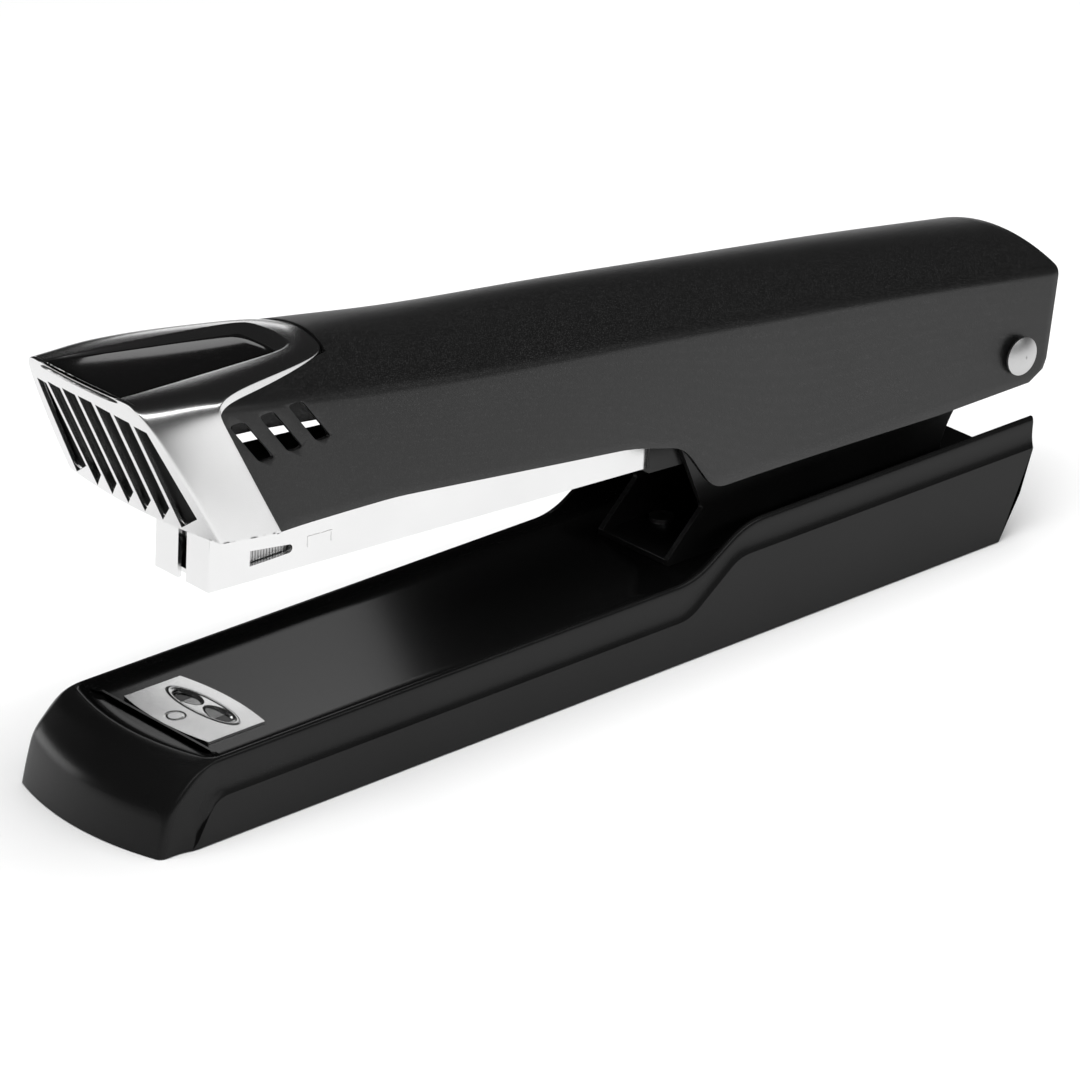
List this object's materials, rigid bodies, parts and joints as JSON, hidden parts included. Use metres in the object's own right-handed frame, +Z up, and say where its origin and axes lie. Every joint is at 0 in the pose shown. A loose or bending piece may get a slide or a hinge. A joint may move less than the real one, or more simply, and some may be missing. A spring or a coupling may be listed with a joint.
{
  "type": "stapler",
  "caption": "Full-strip desk stapler: folded steel cover with a slotted bright nose, plated magazine on a hinge pin, anvil plate and rubber-soled base.",
  "frame": {"origin": "middle of the whole stapler's length and width, on the table", "axes": "+X from the nose to the hinge, +Y to the stapler's left as seen from the hinge, +Z up"},
  "size_m": [0.2264, 0.0428, 0.0847],
  "materials": {
    "base_black": "matte moulded black",
    "tray_gloss": "polished black",
    "sole_rubber": "matte",
    "bright_steel": "bright nickel plate",
    "black_steel": "satin black enamel",
    "satin_steel": "satin turned",
    "spring_steel": "satin",
    "staple_wire": "bright wire",
    "black_plastic": "matte",
    "cover_powder": "fine sparkling black powder coat",
    "trim_chrome": "satin chrome",
    "pad_gloss": "polished black"
  },
  "bodies": {
    "base": {"base_shell": "base_black", "base_tray": "tray_gloss", "base_sole": "sole_rubber", "anvil_plate": "bright_steel", "anvil_rivet": "bright_steel", "hinge_bracket": "black_steel", "bracket_rivets": "satin_steel", "hinge_pin": "satin_steel", "pin_spacers": "black_plastic", "lift_spring": "spring_steel"},
    "magazine": {"magazine_channel": "bright_steel", "magazine_arm": "black_steel", "arm_rivets": "satin_steel", "staple_rail": "bright_steel", "staple_strip": "staple_wire", "follower_rod": "satin_steel", "rod_anchor": "bright_steel", "follower_spring": "spring_steel"},
    "follower_block": {"follower": "black_plastic"},
    "cover": {"cover_shell": "cover_powder", "nose_trim": "trim_chrome", "push_pad": "pad_gloss", "nose_insert": "black_plastic", "driver_blade": "spring_steel", "driver_arm": "black_steel", "driver_rivets": "satin_steel", "return_spring": "spring_steel"}
  },
  "joints": [
    {"name": "magazine_hinge", "type": "hinge", "parent": "base", "child": "magazine", "pos_m": [0.1013, 0, 0.0365], "axis": [0, 1, 0], "range_deg": [-7.7, 45], "stiffness_Nm_per_rad": 3, "springref_deg": 4.58, "deforming": ["lift_spring"]},
    {"name": "cover_hinge", "type": "hinge", "parent": "magazine", "child": "cover", "pos_m": [0.1013, 0, 0.0365], "axis": [0, 1, 0], "range_deg": [-2.4, 85], "stiffness_Nm_per_rad": 3, "springref_deg": 2.86, "deforming": ["return_spring"]},
    {"name": "follower_slide", "type": "slide", "parent": "magazine", "child": "follower_block", "axis": [0.9982, 0, -0.0593], "range_m": [0, 0.047], "stiffness_N_per_m": 30, "springref_m": -0.04, "deforming": ["follower_spring"]}
  ]
}
